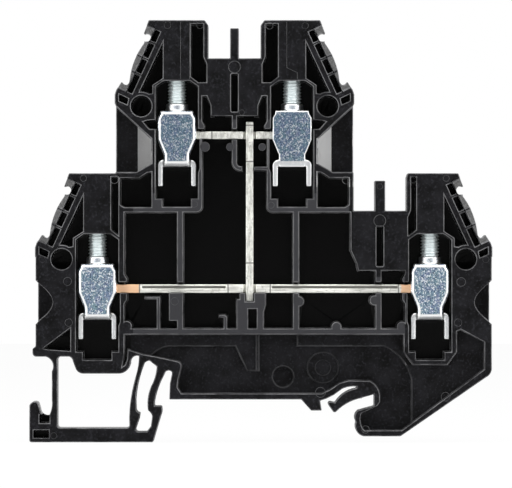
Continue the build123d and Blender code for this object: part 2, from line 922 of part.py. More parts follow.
def yoke(axis, bar_top, turned):
    """A clamping yoke: strip bent to a frame round bar and wire, with a threaded collar and two legs."""
    depth = (yoke_back - yoke_front) / 2
    middle = (yoke_back + yoke_front) / 2
    under = -yoke_floor_drop - strip
    front_sheet = slab(yoke_plate_shape(True), -depth, -depth + strip)
    front_edges = front_sheet.faces().sort_by(Axis.Y)[0].edges().sort_by(Axis.Z)
    front_sheet = chamfer(front_edges[1:], plate_round)
    back_sheet = slab(yoke_plate_shape(False), depth - strip, depth)
    top = Pos(0, 0, yoke_top_rise - strip / 2) * Box(2 * yoke_top_half, 2 * depth - strip, strip)
    floor = Pos(0, 0, -yoke_floor_drop - strip / 2) * Box(2 * yoke_neck_half, 2 * depth - strip, strip)
    collar = cylinder_along_z(0, 0, yoke_top_rise - 0.1, yoke_top_rise + collar_rise, collar_radius)
    body = front_sheet + back_sheet + top + floor + collar
    bend = hypot(bottom_bend, bottom_bend)
    body -= Pos(0, -depth, under) * Rot(45, 0, 0) * Box(3 * yoke_neck_half, bend, bend)
    body += yoke_legs(depth)
    collar_top = yoke_top_rise + collar_rise
    body -= cylinder_along_z(0, 0, yoke_top_rise - strip - 0.5, collar_top + 0.5, thread_radius + thread_play)
    if turned:
        body = Rot(0, 0, 180) * body
    return Pos(axis, middle, bar_top) * body


def yoke_legs(depth):
    """A saddle under the floor whose two sides are bent down into legs."""
    high = -saddle_drop
    outer = leg_half
    inner = leg_half - strip
    saddle = outline(
        (-outer, -leg_drop),
        (-outer, high - leg_bend),
        ((-outer + 0.27, high - 0.27), (-outer + leg_bend, high)),
        (outer - leg_bend, high),
        ((outer - 0.27, high - 0.27), (outer, high - leg_bend)),
        (outer, -leg_drop),
        (inner, -leg_drop),
        (inner, high - strip - 0.3),
        (inner - 0.3, high - strip),
        (-inner + 0.3, high - strip),
        (-inner, high - strip - 0.3),
        (-inner, -leg_drop),
    )
    return slab(saddle, -depth + strip, depth)


def bar(left_axis, right_axis, bar_top, thickness, grooves):
    """A flat current bar, lapped round the strap, with long grooves in its front edge."""
    left = left_axis - bar_overhang
    right = right_axis + bar_overhang
    shape = box_shape(left, right, bar_top - thickness, bar_top)
    body = slab(shape, bar_front, bar_back)
    notch_half = link_thickness / 2 + link_notch_gap
    lap_y = bar_front + lap * (bar_back - bar_front)
    notch = box_shape(link_x - notch_half, link_x + notch_half, bar_top - thickness - 1, bar_top + 1)
    body -= slab(notch, bar_front - 1, lap_y)
    for start, end in grooves:
        groove = box_shape(start, end, bar_top - 0.25 - groove_height, bar_top - 0.25)
        body -= slab(groove, bar_front - 1, bar_front + groove_depth)
    return body


def level_link():
    """The upright strap, notched from behind where it laps over each bar."""
    left = link_x - link_thickness / 2
    right = link_x + link_thickness / 2
    foot = lower_bar_top - link_foot_drop
    head = upper_bar_top + link_top_rise
    body = slab(box_shape(left, right, foot, head), bar_front, bar_back)
    lap_y = bar_front + lap * (bar_back - bar_front)
    for bar_top, thickness in (
        (upper_bar_top, upper_bar_thickness),
        (lower_bar_top, lower_bar_thickness),
    ):
        notch = box_shape(left - 1, right + 1, bar_top - thickness, bar_top)
        body -= slab(notch, lap_y, bar_back + 1)
    return body


os.makedirs("parts", exist_ok=True)
export_step(housing(), "parts/housing.step")
upper = bar(upper_left_axis, upper_right_axis, upper_bar_top, upper_bar_thickness, [])
export_step(upper, "parts/upper_bar.step")
lower_grooves = [(-19.6, -6.2), (1.2, 21.4)]
lower = bar(lower_left_axis, lower_right_axis, lower_bar_top, lower_bar_thickness, lower_grooves)
export_step(lower, "parts/lower_bar.step")
export_step(level_link(), "parts/level_link.step")
for clamp_name, clamp_axis, clamp_bar, clamp_side in clamps:
    export_step(screw(clamp_axis, clamp_bar), f"parts/screw_{clamp_name}.step")
    is_turned = clamp_name == "upper_right"
    export_step(yoke(clamp_axis, clamp_bar, is_turned), f"parts/yoke_{clamp_name}.step")
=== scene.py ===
import math

import bmesh
import bpy
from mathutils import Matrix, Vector


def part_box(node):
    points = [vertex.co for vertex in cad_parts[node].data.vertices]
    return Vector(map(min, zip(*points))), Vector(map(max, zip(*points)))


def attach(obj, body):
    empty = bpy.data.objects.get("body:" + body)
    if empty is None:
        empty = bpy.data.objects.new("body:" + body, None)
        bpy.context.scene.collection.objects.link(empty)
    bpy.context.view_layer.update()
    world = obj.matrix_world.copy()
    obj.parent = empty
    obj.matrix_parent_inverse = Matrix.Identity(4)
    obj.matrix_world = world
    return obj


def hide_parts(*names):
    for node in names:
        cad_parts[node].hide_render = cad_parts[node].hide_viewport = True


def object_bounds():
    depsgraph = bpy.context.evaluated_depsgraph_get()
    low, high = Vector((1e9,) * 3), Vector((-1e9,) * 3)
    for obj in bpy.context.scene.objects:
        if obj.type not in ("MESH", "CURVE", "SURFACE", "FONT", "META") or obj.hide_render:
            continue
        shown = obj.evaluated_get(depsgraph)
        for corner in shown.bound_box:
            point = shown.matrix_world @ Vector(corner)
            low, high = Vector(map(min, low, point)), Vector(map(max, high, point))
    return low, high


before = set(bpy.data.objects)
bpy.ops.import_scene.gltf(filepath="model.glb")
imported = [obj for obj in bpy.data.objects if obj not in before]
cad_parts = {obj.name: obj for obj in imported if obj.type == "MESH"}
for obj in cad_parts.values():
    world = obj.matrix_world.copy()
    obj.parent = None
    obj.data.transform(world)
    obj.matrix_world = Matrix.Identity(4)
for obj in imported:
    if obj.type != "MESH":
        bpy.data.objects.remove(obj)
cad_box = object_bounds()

MM = 0.001
CLAMPS = ("upper_left", "upper_right", "lower_left", "lower_right")
HOUSING_EDGE = 0.14 * MM
YOKE_EDGE = 0.2 * MM
BAR_EDGE = 0.12 * MM
SHARP_ANGLE = math.radians(28)
FRONT_FACE = -3.05 * MM
WEB_FACE = -0.75 * MM
TRAY_FLOOR = 2.2 * MM
ROOM_FROM = -2.9 * MM
ROOM_TO = -1.6 * MM
SKINS_FROM = 22 * MM
SKINS_FULL = 23 * MM
YOKE_FACE = -2.9 * MM
CUT_FROM = YOKE_FACE + 0.5 * MM
CUT_TO = YOKE_FACE + 0.8 * MM
COPPER_FROM = -20.0 * MM
COPPER_BEYOND = 21.9 * MM
COPPER_FADE = 0.15 * MM
COPPER_WANDER = 0.3 * MM

# Clamping screws
HEAD_HEIGHT = 2.0 * MM
SEAT_GAP = 0.012 * MM
SHANK_RADIUS = 1.5 * MM
SHANK_SIDES = 36
SHANK_OVERLAP = 0.1 * MM
TIP_CHAMFER = 0.35 * MM
THREAD_PITCH = 0.5 * MM
THREAD_DEPTH = 0.27 * MM
THREAD_STEPS = 8.0
FLANK_SLOPE = 1.3
CREST_SHARE = 0.12

# Places on the part, as boxes whose spans along some of the axes are in millimetres
SOFTNESS = 0.05
FRONT_EDGES = (-3.3, -1.6)
WEB_DEPTH = (-2.6, 0.4)
FUNNEL_DEPTH = (-3.3, 2.5)
CORE_RIBS = (
    {"X": (-21, 13.6), "Y": FRONT_EDGES, "Z": (10.4, 33)},
    {"X": (13.6, 22.5), "Y": FRONT_EDGES, "Z": (10.4, 19.6)},
    {"X": (-11.4, 1.7), "Y": FRONT_EDGES, "Z": (33, 44.8)},
)
WEB_AREAS = (
    {"X": (-21.4, 22.6), "Y": WEB_DEPTH, "Z": (-9, 10.4)},
    {"X": (22.6, 30), "Y": WEB_DEPTH, "Z": (-9, 5.5)},
    {"X": (30, 37), "Y": WEB_DEPTH, "Z": (-9, 10.4)},
)
LOWER_FUNNELS = (
    {"X": (-38, -29), "Y": FUNNEL_DEPTH, "Z": (10, 22)},
    {"X": (29, 37), "Y": FUNNEL_DEPTH, "Z": (10, 22)},
)
UPPER_FUNNELS = (
    {"X": (-24, -20.2), "Y": FUNNEL_DEPTH, "Z": (36.1, 45.2)},
    {"X": (-24, -21.5), "Y": FUNNEL_DEPTH, "Z": (45.2, 46.8)},
    {"X": (10.9, 14.8), "Y": FUNNEL_DEPTH, "Z": (36.1, 45.2)},
    {"X": (11.9, 14.8), "Y": FUNNEL_DEPTH, "Z": (45.2, 46.8)},
)
REAR = {"Y": (2.6, 4.3)}
RIGHT_RAMP = {"X": (8, 15.5), "Z": (34, 44)}
LEFT_RAMP = {"X": (-25, -17), "Z": (34, 44)}
SADDLES = ({"Z": (30, 38.15)}, {"Z": (5, 13.65)})
UPPER_YOKES = {"Z": (30, 52)}
LOWER_GROOVES = [{"X": span, "Z": (17.77, 18.13)} for span in ((-19.6, -6.2), (1.2, 21.4))]
LOWER_LAPS = [{"X": (x - 0.1, x + 0.1), "Z": (16.9, 18.5)} for x in (-20.0, -5.8, 0.96, 21.5)]
STRAP_BENDS = [{"X": (-3, -1), "Z": (z - 0.1, z + 0.1)} for z in (21.84, 38.1, 43.9)]
UPPER_LAP = {"X": (-8.5, -8.3), "Z": (41, 43)}

# Rings, posts and seams on the housing: places are X, Z and radius, or two ends, in millimetres
LIP_SIDES = 6
# Share of the painted edge highlight laid on the lips of rings and seams
LIP_EDGE_HIGHLIGHT = 0.6
RING_LIP = 0.05
RING_SIDES = 28
PIN_RINGS = (
    (-4.77, 53.2, 0.95), (18.48, 28.6, 0.95), (-3.6, 45.95, 0.42), (-15.5, 59.9, 0.55),
    (-10.3, 59.9, 0.55), (0.83, 59.8, 0.55), (6.54, 59.8, 0.5), (-28.96, 35.4, 0.5),
    (-24.0, 35.2, 0.65), (13.1, 35.1, 0.6), (23.8, 35.2, 0.55), (29.1, 35.4, 0.5),
    (18.48, 34.1, 0.45), (-31.5, 18.9, 0.65), (31.5, 18.8, 0.7), (-14.35, 15.7, 0.6),
    (-31.3, 12.3, 0.6), (31.0, 12.3, 0.6), (35.45, 22.4, 0.5), (-35.55, 22.4, 0.5),
    (8.98, 1.14, 0.8), (29.0, 0.45, 0.7), (16.2, -4.8, 0.6), (-33.7, -5.8, 0.5),
    (-11.2, 31.25, 0.5), (1.08, 31.1, 0.5),
)
INSERT_X = 9.4
INSERT_Z = 5.05
INSERT_RADII = (2.5, 1.25)
POST_SIDES = 24
POSTS = ((-9.52, 40.43, 0.8), (-5.47, 40.4, 0.64), (-0.34, 40.4, 0.6))
SEAM_LIP = 0.035
SEAMS = (
    ((-13.4, 60.4), (-13.4, 51.3)),
    ((-11.95, 60.4), (-11.95, 51.3)),
    ((3.6, 60.4), (3.6, 53.1)),
    ((3.6, 53.1), (5.28, 52.3)),
    ((5.28, 52.3), (5.28, 51.3)),
)

# Floor, light and camera
FLOOR_REACH = 0.9
FLOOR_DROP = 0.05 * MM
FLOOR_WHITENESS = 0.965
LIGHT_AIM = (0, 0, 25 * MM)
SIDE_LIGHT = 4.0
FRONT_LIGHT = 1.4
FRAME_WIDTH = 81.92 * MM
VIEW_X = -1.33 * MM
VIEW_Z = 24.88 * MM

scene = bpy.context.scene


# Node helpers


def feed(tree, socket, value):
    """Links a socket to another node's output, or sets the socket's own value."""
    if isinstance(value, bpy.types.NodeSocket):
        tree.links.new(value, socket)
    else:
        socket.default_value = value


def wire_up(tree, kind, **inputs):
    """A new node whose inputs are fed by their labels."""
    made = tree.nodes.new(kind)
    for label, value in inputs.items():
        feed(tree, made.inputs[label.replace("_", " ")], value)
    return made


def reckon(tree, operation, *values):
    """One step of arithmetic on numbers or sockets."""
    made = tree.nodes.new("ShaderNodeMath")
    made.operation = operation
    for socket, value in zip(made.inputs, values):
        feed(tree, socket, value)
    return made.outputs[0]


def ramp(tree, value, low, high, start, end):
    """Takes value from low..high to start..end, without going past either."""
    made = wire_up(
        tree,
        "ShaderNodeMapRange",
        Value=value,
        From_Min=low,
        From_Max=high,
        To_Min=start,
        To_Max=end,
    )
    return made.outputs["Result"]


class Finish:
    """A material being built: its Principled shader and the nodes that feed it."""

    def __init__(self, name, **values):
        self.material = bpy.data.materials.new(name)
        self.material.use_nodes = True
        self.tree = self.material.node_tree
        self.shader = self.tree.nodes["Principled BSDF"]
        self.place = self.tree.nodes.new("ShaderNodeTexCoord").outputs["Object"]
        for label, value in values.items():
            self.shader.inputs[label.replace("_", " ")].default_value = value

    def node(self, kind, **inputs):
        return wire_up(self.tree, kind, **inputs)

    def math(self, operation, *values):
        return reckon(self.tree, operation, *values)

    def times(self, first, second):
        return self.math("MULTIPLY", first, second)

    def between(self, value, low, high, start, end):
        """Takes value from low..high to start..end, without going past either."""
        return ramp(self.tree, value, low, high, start, end)

    def noise(self, size, detail=3.0, roughness=0.55, place=None):
        """Noise whose features are about size metres across."""
        made = self.node(
            "ShaderNodeTexNoise",
            Vector=place or self.place,
            Scale=1 / size,
            Detail=detail,
            Roughness=roughness,
        )
        return made.outputs["Fac"]

    def stretched(self, x, y, z):
        """Object coordinates scaled along each axis."""
        made = self.node("ShaderNodeMapping", Vector=self.place, Scale=(x, y, z))
        return made.outputs["Vector"]

    def edge(self):
        """1 on the rounded edges of a piece whose edges were rounded, where painted highlights are laid, 0
        elsewhere.
        """
        made = self.tree.nodes.new("ShaderNodeAttribute")
        made.attribute_name = "edge"
        return made.outputs["Fac"]

    def lit_slants(self):
        """1 on the upper faces that lean sideways, such as marker skins and lead-in ramps, where painted
        light is laid.
        """
        normal = self.tree.nodes.new("ShaderNodeNewGeometry").outputs["True Normal"]
        parts = self.node("ShaderNodeSeparateXYZ", Vector=normal)
        lean = self.between(self.math("ABSOLUTE", parts.outputs["X"]), 0.28, 0.36, 0.0, 1.0)
        facing = self.between(parts.outputs["Y"], -0.5, -0.3, 1.0, 0.0)
        above = self.between(self.part_of("Z"), SKINS_FROM, SKINS_FULL, 0.0, 1.0)
        return self.times(self.times(lean, facing), above)

    def part_of(self, axis):
        return self.node("ShaderNodeSeparateXYZ", Vector=self.place).outputs[axis]

    def inside(self, *boxes):
        """1 inside any of the boxes, 0 outside them all."""
        shares = []
        for box in boxes:
            share = 1.0
            for axis, (low, high) in box.items():
                place = self.part_of(axis)
                rise = self.between(place, (low - SOFTNESS) * MM, (low + SOFTNESS) * MM, 0.0, 1.0)
                fall = self.between(place, (high - SOFTNESS) * MM, (high + SOFTNESS) * MM, 1.0, 0.0)
                share = self.times(self.times(rise, fall), share)
            shares.append(share)
        return self.any_of(*shares)

    def any_of(self, *shares):
        """The largest of the shares."""
        most = shares[0]
        for share in shares[1:]:
            most = self.math("MAXIMUM", most, share)
        return most

    def blend(self, share, first, second):
        """The first colour where share is 0, the second where it is 1."""
        made = self.tree.nodes.new("ShaderNodeMix")
        made.data_type = "RGBA"
        feed(self.tree, made.inputs["Factor"], share)
        for socket, value in zip([s for s in made.inputs if s.type == "RGBA"], (first, second)):
            feed(self.tree, socket, value)
        return [s for s in made.outputs if s.type == "RGBA"][0]

    def bump(self, height, distance, strength):
        made = self.node("ShaderNodeBump", Height=height, Distance=distance, Strength=strength)
        self.tree.links.new(made.outputs["Normal"], self.shader.inputs["Normal"])

    def colour(self, value):
        feed(self.tree, self.shader.inputs["Base Color"], value)

    def roughness(self, value):
        feed(self.tree, self.shader.inputs["Roughness"], value)


def grey(value, tint=1.0):
    """A grey whose blue is tint times its red and green."""
    return (value, value, value * tint, 1.0)


# Colours of the finishes, in linear light
FACE_DARK = grey(0.001, 1.2)
FACE_PALE = grey(0.008, 1.2)
FACE_FLECK = grey(0.018, 1.2)
CORE_GREY = grey(0.038, 1.1)
# Painted shade, painted light and painted highlights for the black plastic: deep rooms, sideways-leaning
# faces, ramps and rounded edges
ROOM_PAINTED_SHADE = grey(0.0008, 1.05)
LIT_SLANT_DARK = grey(0.075)
LIT_SLANT_PALE = grey(0.13)
RAMP_PAINTED_LIGHT = grey(0.55)
EDGE_HIGHLIGHT_GREY = grey(0.14, 1.03)
ZINC_DEEP = (0.11, 0.18, 0.28, 1)
ZINC_PALE = (0.36, 0.48, 0.58, 1)
ZINC_VIOLET = (0.32, 0.34, 0.56, 1)
ZINC_TEAL = (0.28, 0.45, 0.47, 1)
ZINC_CLOUD = (0.20, 0.30, 0.42, 1)
ZINC_PIT = (0.02, 0.035, 0.07, 1)
ZINC_GLINT = (0.92, 0.96, 0.99, 1)
ZINC_PAINTED_SHADE = (0.015, 0.045, 0.09, 1)
ZINC_HIGHLIGHT = (0.95, 0.96, 0.96, 1)
SCREW_DULL = (0.72, 0.79, 0.80, 1)
SCREW_BRIGHT = (0.93, 0.98, 0.98, 1)
TIN_DULL = (0.66, 0.66, 0.61, 1)
TIN_BRIGHT = (0.98, 0.98, 0.92, 1)
TIN_SPOT = (0.40, 0.39, 0.35, 1)
TIN_LINE_SHADE = (0.10, 0.10, 0.09, 1)
COPPER_DARK = (0.92, 0.50, 0.28, 1)
COPPER_PALE = (1.0, 0.72, 0.48, 1)

# How much of one tone is laid over another
CORE_SHARE = 0.8
FUNNEL_LIGHT = 0.8
LEFT_RAMP_LIGHT = 0.5
WEB_EDGE_HIGHLIGHT = 0.3
GLINT_SHARE = 0.95
UPPER_YOKE_PAINTED_SHADE = 0.34
SADDLE_HIGHLIGHT = 0.85
LINE_SHADE_SHARE = 0.8


# Finishes


def black_moulding():
    """Black polyamide: grained faces, smoother rooms darkened with painted shade, painted light on
    sideways-leaning faces and ramps, and painted highlights on the edges.
    """
    made = Finish("black_moulding", Specular_IOR_Level=0.12)
    grain = made.noise(0.2 * MM, 2.0, 0.6)
    cloud = made.between(made.noise(3 * MM, 4.0, 0.6), 0.36, 0.64, 0.0, 1.0)
    fleck = made.between(made.noise(0.4 * MM, 1.0), 0.54, 0.74, 0.0, 0.8)
    face = made.blend(cloud, FACE_DARK, FACE_PALE)
    face = made.blend(fleck, face, FACE_FLECK)
    face = made.blend(made.times(made.inside(*CORE_RIBS), CORE_SHARE), face, CORE_GREY)
    web = made.inside(*WEB_AREAS)
    funnels = made.times(made.inside(*LOWER_FUNNELS, *UPPER_FUNNELS), FUNNEL_LIGHT)
    lit = made.any_of(web, funnels, made.inside(REAR))
    # Painted shade: the deep rooms are darkened, except the web, funnels and rear, which are left as if
    # lit
    depth = made.between(made.part_of("Y"), ROOM_FROM, ROOM_TO, 0.0, 1.0)
    depth = made.times(depth, made.math("SUBTRACT", 1.0, lit))
    base = made.blend(depth, face, ROOM_PAINTED_SHADE)
    # Painted light: faces leaning sideways are laid lighter, as if catching the side lamps
    lit_slants = made.lit_slants()
    base = made.blend(lit_slants, base, made.blend(fleck, LIT_SLANT_DARK, LIT_SLANT_PALE))
    # Painted light: the lead-in ramps are laid pale grey, the left one at half share
    pale = made.any_of(made.inside(RIGHT_RAMP), made.times(made.inside(LEFT_RAMP), LEFT_RAMP_LIGHT))
    base = made.blend(made.times(lit_slants, pale), base, RAMP_PAINTED_LIGHT)
    # Painted highlight: the rounded edges are laid lighter, patchily, and dimmer on the web
    edge_highlight = made.between(made.noise(2.2 * MM, 3.0), 0.36, 0.62, 0.25, 1.0)
    edge_highlight = made.times(edge_highlight, made.between(web, 0.0, 1.0, 1.0, WEB_EDGE_HIGHLIGHT))
    made.colour(made.blend(made.times(made.edge(), edge_highlight), base, EDGE_HIGHLIGHT_GREY))
    made.roughness(made.between(depth, 0.0, 1.0, 0.5, 0.25))
    made.bump(grain, 0.014 * MM, 0.8)
    return made.material


def zinc_sheet():
    """Blue passivated zinc on bent strip: crystalline mottling, tiny pits, painted glints, painted shade
    on the upper yokes, and painted highlights on edges, sheet sides and saddles.
    """
    made = Finish("zinc_sheet", Metallic=1.0)
    mottle = made.noise(0.26 * MM, 4.0, 0.7)
    patch = made.noise(2.2 * MM, 2.0, 0.5)
    tint = made.noise(0.9 * MM, 2.0, 0.5)
    pits = made.between(made.noise(0.18 * MM, 1.5, 0.6), 0.38, 0.46, 1.0, 0.0)
    # Painted glints: tiny near-white spots laid into the colour
    sparkle = made.noise(0.2 * MM, 1.0, 0.5, made.stretched(1.1, 1.0, 0.9))
    glints = made.between(sparkle, 0.56, 0.64, 0.0, 1.0)
    sheet = made.blend(made.between(mottle, 0.42, 0.58, 0, 1), ZINC_DEEP, ZINC_PALE)
    sheet = made.blend(made.between(tint, 0.5, 0.62, 0.0, 0.5), sheet, ZINC_VIOLET)
    sheet = made.blend(made.between(tint, 0.38, 0.5, 0.45, 0.0), sheet, ZINC_TEAL)
    sheet = made.blend(made.between(patch, 0.38, 0.62, 0.0, 0.45), sheet, ZINC_CLOUD)
    sheet = made.blend(pits, sheet, ZINC_PIT)
    sheet = made.blend(made.times(glints, GLINT_SHARE), sheet, ZINC_GLINT)
    # Painted shade: the upper yokes are laid a little darker
    sheet = made.blend(made.times(made.inside(UPPER_YOKES), UPPER_YOKE_PAINTED_SHADE), sheet, ZINC_PAINTED_SHADE)
    # Painted highlight: rounded edges, the sheet sides behind the front face and the saddles are laid near
    # white
    cut_side_highlight = made.between(made.part_of("Y"), CUT_FROM, CUT_TO, 0.0, 0.75)
    bright = made.any_of(made.edge(), cut_side_highlight, made.times(made.inside(*SADDLES), SADDLE_HIGHLIGHT))
    made.colour(made.blend(bright, sheet, ZINC_HIGHLIGHT))
    made.roughness(made.between(bright, 0.0, 1.0, 0.42, 0.3))
    made.bump(made.math("ADD", mottle, made.times(pits, -0.5)), 0.03 * MM, 0.7)
    return made.material


def bright_zinc():
    """Bright zinc on the screws, with faint turning marks."""
    made = Finish("bright_zinc", Metallic=0.8)
    marks = made.noise(0.5 * MM, 2.0, 0.5, made.stretched(1, 1, 12))
    made.colour(made.blend(marks, SCREW_DULL, SCREW_BRIGHT))
    made.roughness(made.between(marks, 0.3, 0.7, 0.34, 0.5))
    made.bump(marks, 0.006 * MM, 0.5)
    return made.material


def tin_plate(copper):
    """Matt tin on punched bar, with drawn streaks, fine dark lines of painted shade in grooves, laps and
    bends, and bare copper ends on request.
    """
    made = Finish("tin_over_copper" if copper else "matt_tin", Metallic=0.75)
    drawn = (0.12, 1, 1) if copper else (1, 1, 0.3)
    marks = (*LOWER_GROOVES, *LOWER_LAPS) if copper else (*STRAP_BENDS, UPPER_LAP)
    streak = made.noise(0.35 * MM, 3.0, 0.6, made.stretched(*drawn))
    spots = made.between(made.noise(0.5 * MM, 2.0), 0.6, 0.7, 0.0, 0.5)
    tin = made.blend(made.between(streak, 0.36, 0.62, 0, 1), TIN_DULL, TIN_BRIGHT)
    tin = made.blend(spots, tin, TIN_SPOT)
    if copper:
        wander = made.between(made.noise(0.6 * MM), 0.0, 1.0, -COPPER_WANDER, COPPER_WANDER)
        place = made.math("ADD", made.part_of("X"), wander)
        left = made.between(place, COPPER_FROM - COPPER_FADE, COPPER_FROM + COPPER_FADE, 1.0, 0.0)
        right = made.between(place, COPPER_BEYOND - COPPER_FADE, COPPER_BEYOND + COPPER_FADE, 0.0, 1.0)
        warm = made.blend(streak, COPPER_DARK, COPPER_PALE)
        tin = made.blend(made.any_of(left, right), tin, warm)
    # Painted shade: dark lines laid along the grooves, laps and bends
    made.colour(made.blend(made.times(made.inside(*marks), LINE_SHADE_SHARE), tin, TIN_LINE_SHADE))
    made.roughness(made.between(streak, 0.3, 0.7, 0.34, 0.5))
    made.bump(streak, 0.01 * MM, 0.5)
    return made.material


# Pieces made from the frame's own nodes, with the edges that moulding and punching leave


def merged(node):
    """A node's mesh with its loose triangles joined into clean faces."""
    shape = bmesh.new()
    shape.from_mesh(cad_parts[node].data)
    bmesh.ops.remove_doubles(shape, verts=shape.verts, dist=0.001 * MM)
    return shape


def plain_object(name, shape):
    """An object whose mesh is the given shape, shaded without stored normals."""
    mesh = bpy.data.meshes.new(name)
    shape.to_mesh(mesh)
    shape.free()
    if "custom_normal" in mesh.attributes:
        mesh.attributes.remove(mesh.attributes["custom_normal"])
    made = bpy.data.objects.new(name, mesh)
    scene.collection.objects.link(made)
    return made


def settle(made, material):
    """Applies what modifiers are on the piece and gives it its one material."""
    bpy.context.view_layer.update()
    graph = bpy.context.evaluated_depsgraph_get()
    mesh = bpy.data.meshes.new_from_object(made.evaluated_get(graph))
    made.modifiers.clear()
    made.data = mesh
    edge = mesh.attributes.new("edge", "FLOAT", "FACE")
    for face in mesh.polygons:
        edge.data[face.index].value = face.material_index
        face.material_index = 0
    mesh.materials.clear()
    mesh.materials.append(material)


def rounded_copy(node, name, edge, material, body, segments=2):
    """Stands for a node: the same solid with its sharp edges rounded a little."""
    made = plain_object(name, merged(node))
    for face in made.data.polygons:
        face.use_smooth = True
    made.data.materials.append(material)
    made.data.materials.append(material)
    rounding = made.modifiers.new("edges", "BEVEL")
    rounding.width = edge
    rounding.segments = segments
    rounding.limit_method = "ANGLE"
    rounding.angle_limit = SHARP_ANGLE
    rounding.use_clamp_overlap = False
    rounding.loop_slide = False
    rounding.material = 1
    shading = made.modifiers.new("shading", "WEIGHTED_NORMAL")
    shading.weight = 80
    settle(made, material)
    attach(made, body)
    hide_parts(node)


# Trees that grow what repeats or follows a rule


def new_tree(name, inputs):
    """A tree with the named inputs after its geometry, and its input and output nodes."""
    tree = bpy.data.node_groups.new(name, "GeometryNodeTree")
    tree.interface.new_socket("Geometry", in_out="INPUT", socket_type="NodeSocketGeometry")
    for label, kind in inputs:
        tree.interface.new_socket(label, in_out="INPUT", socket_type=kind)
    tree.interface.new_socket("Geometry", in_out="OUTPUT", socket_type="NodeSocketGeometry")
    return tree, tree.nodes.new("NodeGroupInput"), tree.nodes.new("NodeGroupOutput")


def end_tree(tree, geometry, material, last):
    """Makes instances real and dresses them."""
    real = wire_up(tree, "GeometryNodeRealizeInstances", Geometry=geometry)
    dressed = wire_up(tree, "GeometryNodeSetMaterial", Geometry=real.outputs[0], Material=material)
    tree.links.new(dressed.outputs[0], last.inputs[0])


def grown(name, tree, values, shape=None):
    """An object whose mesh comes from a tree, with the tree's inputs set by their labels."""
    made = plain_object(name, shape or bmesh.new())
    modifier = made.modifiers.new("rule", "NODES")
    modifier.node_group = tree
    for item in tree.interface.items_tree:
        if item.item_type == "SOCKET" and item.in_out == "INPUT" and item.name in values:
            modifier[item.identifier] = values[item.name]
    return made


def size_at_point(tree):
    """The radius that is stored with each point, in millimetres."""
    stored = tree.nodes.new("GeometryNodeInputNamedAttribute")
    stored.inputs["Name"].default_value = "size"
    return stored.outputs["Attribute"]


def stood_on_points(tree, points, shape, scale):
    """A copy of the shape at every point, turned so that its axis lies along Y."""
    turned = wire_up(tree, "ShaderNodeCombineXYZ", X=math.pi / 2, Y=0.0, Z=0.0)
    spread = wire_up(
        tree,
        "GeometryNodeInstanceOnPoints",
        Points=points,
        Instance=shape,
        Rotation=turned.outputs[0],
        Scale=scale,
    )
    return spread.outputs["Instances"]


# Clamping screws: a threaded shank grown by rule, and the head from the frame


def thread_tree():
    """A shank whose radius rises and falls once a turn, closed at both ends."""
    number = "NodeSocketFloat"
    tree, given, last = new_tree(
        "thread",
        [
            ("Crest radius", number),
            ("Depth", number),
            ("Pitch", number),
            ("Length", number),
            ("Start", "NodeSocketVector"),
            ("Chamfer", number),
            ("Material", "NodeSocketMaterial"),
        ],
    )
    crest, depth, pitch, length, start, chamfer, material = (given.outputs[i] for i in range(1, 8))
    steps = reckon(tree, "MULTIPLY", reckon(tree, "DIVIDE", length, pitch), THREAD_STEPS)
    whole = wire_up(
        tree,
        "GeometryNodeMeshCylinder",
        Vertices=SHANK_SIDES,
        Side_Segments=reckon(tree, "ROUND", steps),
        Radius=1.0,
        Depth=length,
    )
    whole.fill_type = "NGON"
    place = tree.nodes.new("GeometryNodeInputPosition")
    x, y, z = wire_up(tree, "ShaderNodeSeparateXYZ", Vector=place.outputs[0]).outputs
    turn = reckon(tree, "DIVIDE", reckon(tree, "ARCTAN2", y, x), math.tau)
    phase = reckon(tree, "SUBTRACT", reckon(tree, "DIVIDE", z, pitch), turn)
    wave = reckon(tree, "MULTIPLY", reckon(tree, "PINGPONG", phase, 0.5), 2.0)
    flank = reckon(tree, "SUBTRACT", reckon(tree, "MULTIPLY", wave, FLANK_SLOPE), CREST_SHARE)
    low = reckon(tree, "MAXIMUM", reckon(tree, "MINIMUM", flank, 1.0), 0.0)
    radius = reckon(tree, "SUBTRACT", crest, reckon(tree, "MULTIPLY", low, depth))
    height = reckon(tree, "ADD", z, reckon(tree, "MULTIPLY", length, 0.5))
    cone = reckon(tree, "ADD", reckon(tree, "SUBTRACT", crest, chamfer), height)
    radius = reckon(tree, "MINIMUM", radius, cone)
    round_place = wire_up(
        tree,
        "ShaderNodeCombineXYZ",
        X=reckon(tree, "MULTIPLY", x, radius),
        Y=reckon(tree, "MULTIPLY", y, radius),
        Z=height,
    )
    moved = tree.nodes.new("ShaderNodeVectorMath")
    tree.links.new(round_place.outputs[0], moved.inputs[0])
    tree.links.new(start, moved.inputs[1])
    shaped = wire_up(
        tree, "GeometryNodeSetPosition", Geometry=whole.outputs["Mesh"], Position=moved.outputs[0]
    )
    smooth = wire_up(tree, "GeometryNodeSetShadeSmooth", Geometry=shaped.outputs[0])
    end_tree(tree, smooth.outputs[0], material, last)
    return tree


def screw_head(node, seat):
    """The head's own faces of a screw node, closed underneath."""
    shape = merged(node)
    below = [f for f in shape.faces if f.calc_center_median().z < seat - 0.02 * MM]
    bmesh.ops.delete(shape, geom=below, context="FACES")
    rim = [e for e in shape.edges if e.is_boundary]
    bmesh.ops.holes_fill(shape, edges=rim)
    for corner in shape.verts:
        if corner.co.z < seat + 0.01 * MM:
            corner.co.z += SEAT_GAP
    return shape


